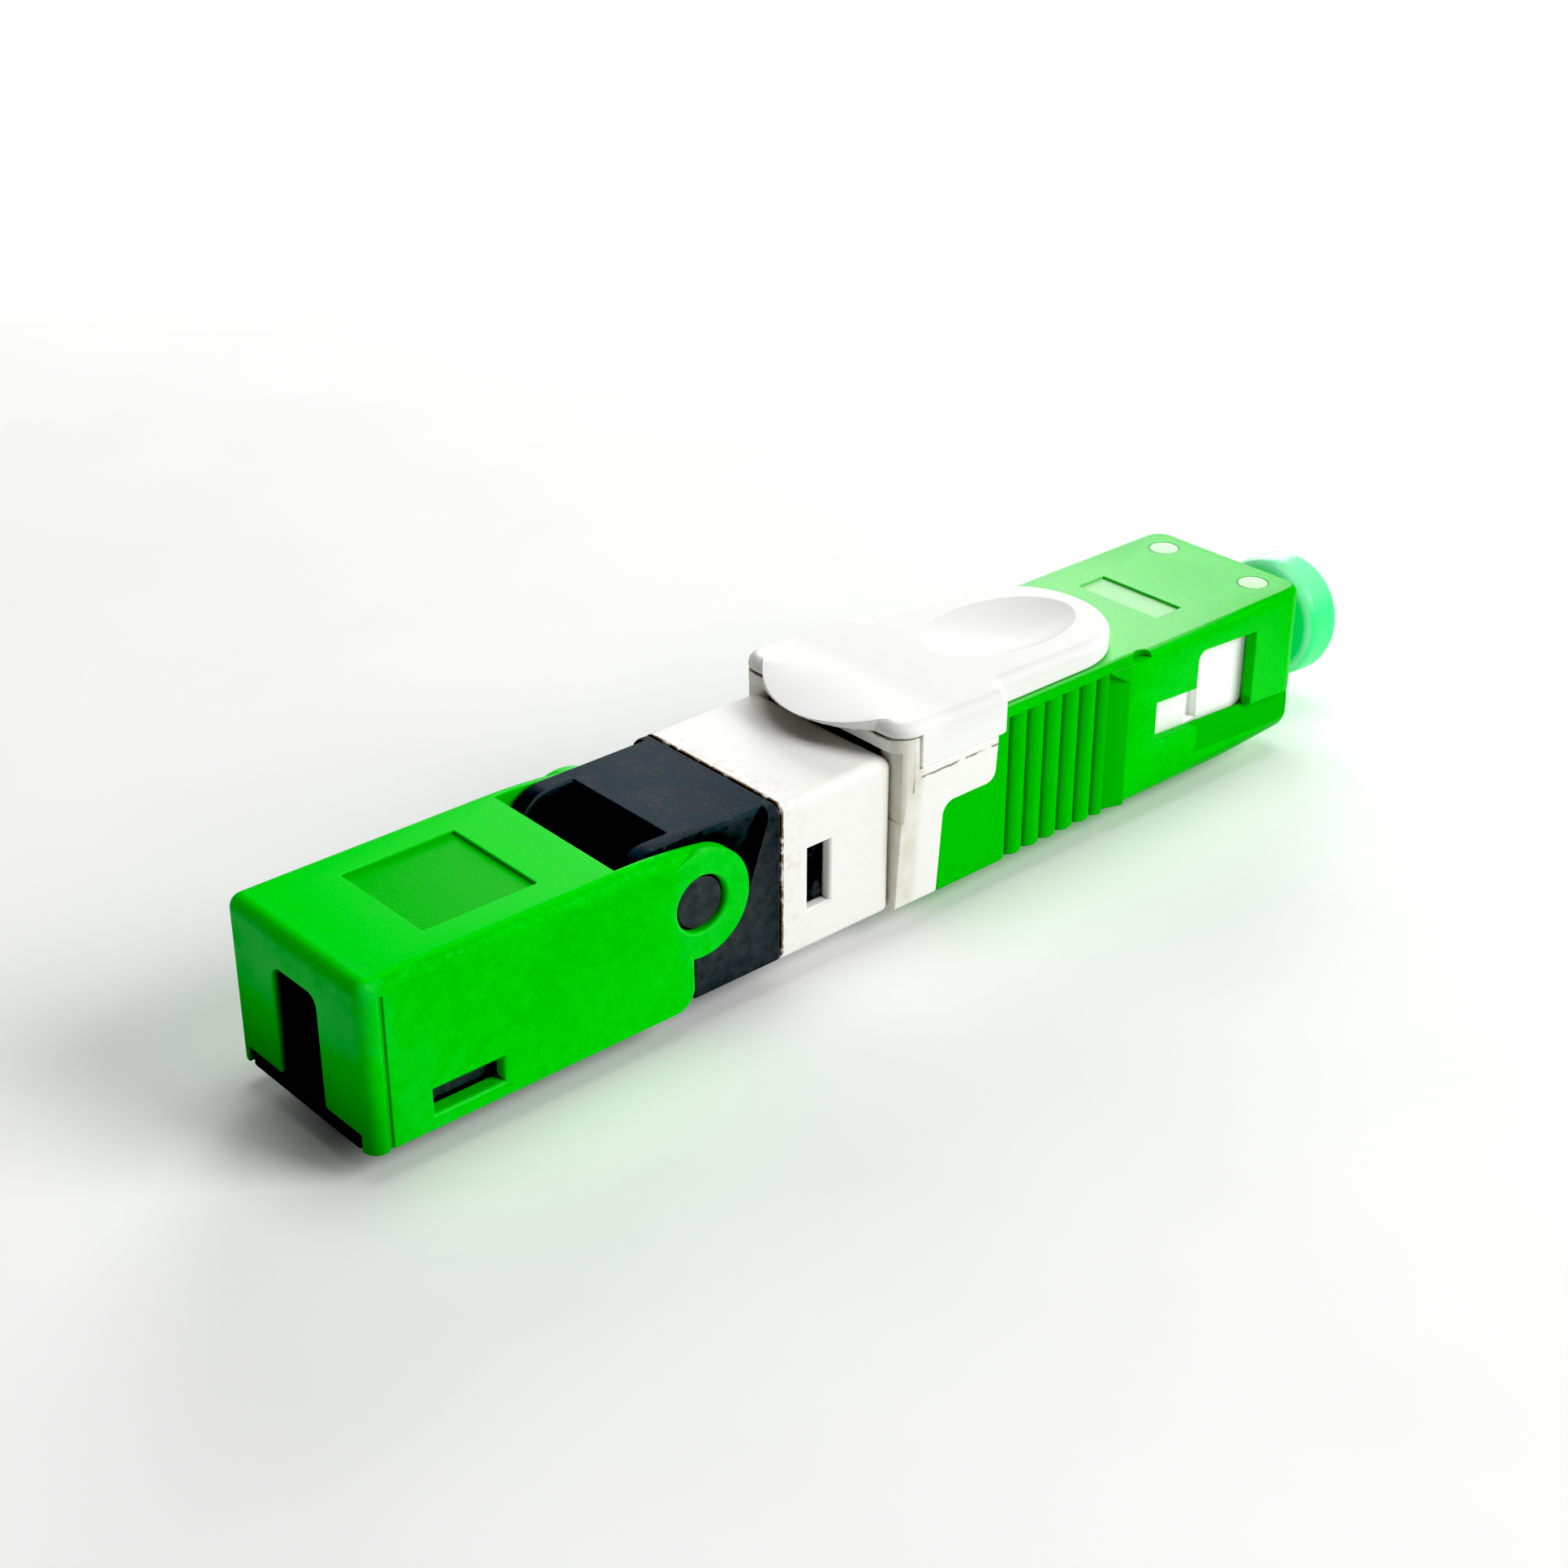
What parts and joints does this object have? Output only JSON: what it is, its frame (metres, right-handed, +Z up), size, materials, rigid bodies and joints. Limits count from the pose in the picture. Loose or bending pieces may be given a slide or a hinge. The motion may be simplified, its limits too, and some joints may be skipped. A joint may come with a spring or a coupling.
{
  "type": "field-installable fibre connector",
  "caption": "Push-pull fibre plug for fitting on site: hinged tail cover over a cable clamp, thumb slider that closes a mechanical splice, finger-ribbed grip, sprung ferrule and dust cap.",
  "frame": {"origin": "under the middle of the part, at the level of the plug's key", "axes": "+X from the cable end to the ferrule, +Z up through the slider, +Y to the left seen from the cable end"},
  "size_m": [0.0574, 0.01, 0.01],
  "materials": {
    "green_plastic": "fine satin moulding",
    "white_plastic": "satin moulding",
    "black_plastic": "matt, slightly ragged moulding",
    "mint_plastic": "soft translucent cap",
    "zirconia": "polished ceramic",
    "flange_metal": "turned",
    "spring_steel": "drawn wire",
    "fibre_glass": "bare fibre",
    "splice_plastic": "fine moulding",
    "clip_steel": "bent sheet"
  },
  "bodies": {
    "body": {"main_body": "white_plastic", "cable_base": "black_plastic", "plug_frame": "white_plastic", "ferrule_spring": "spring_steel", "splice_base": "splice_plastic", "splice_lid_rear": "splice_plastic", "splice_lid_front": "splice_plastic", "splice_clip": "clip_steel", "fibre_guide": "splice_plastic"},
    "tail": {"tail_cover": "green_plastic"},
    "slider": {"clamp_slider": "white_plastic"},
    "press": {"press_block": "splice_plastic"},
    "grip": {"grip_housing": "green_plastic"},
    "ferrule_unit": {"ferrule": "zirconia", "ferrule_flange": "flange_metal", "fibre_stub": "fibre_glass"},
    "cap": {"dust_cap": "mint_plastic"}
  },
  "joints": [
    {"name": "tail_hinge", "type": "hinge", "parent": "body", "child": "tail", "pos_m": [-0.01319, 0, 0.00575], "axis": [0, 1, 0], "range_deg": [0, 100]},
    {"name": "slider_push", "type": "slide", "parent": "body", "child": "slider", "axis": [1, 0, 0], "range_m": [0, 0.0016]},
    {"name": "press_drop", "type": "slide", "parent": "body", "child": "press", "axis": [0, 0, -1], "range_m": [0, 0.00024]},
    {"name": "grip_slide", "type": "slide", "parent": "body", "child": "grip", "axis": [1, 0, 0], "range_m": [0, 0.002]},
    {"name": "ferrule_float", "type": "slide", "parent": "body", "child": "ferrule_unit", "axis": [-1, 0, 0], "range_m": [0, 0.0015], "stiffness_N_per_m": 1000, "deforming": ["ferrule_spring"]},
    {"name": "cap_pull", "type": "slide", "parent": "body", "child": "cap", "axis": [1, 0, 0], "range_m": [0, 0.01]}
  ],
  "couplings": [
    {"joint": "press_drop", "follows": "slider_push", "ratio": 0.15}
  ]
}
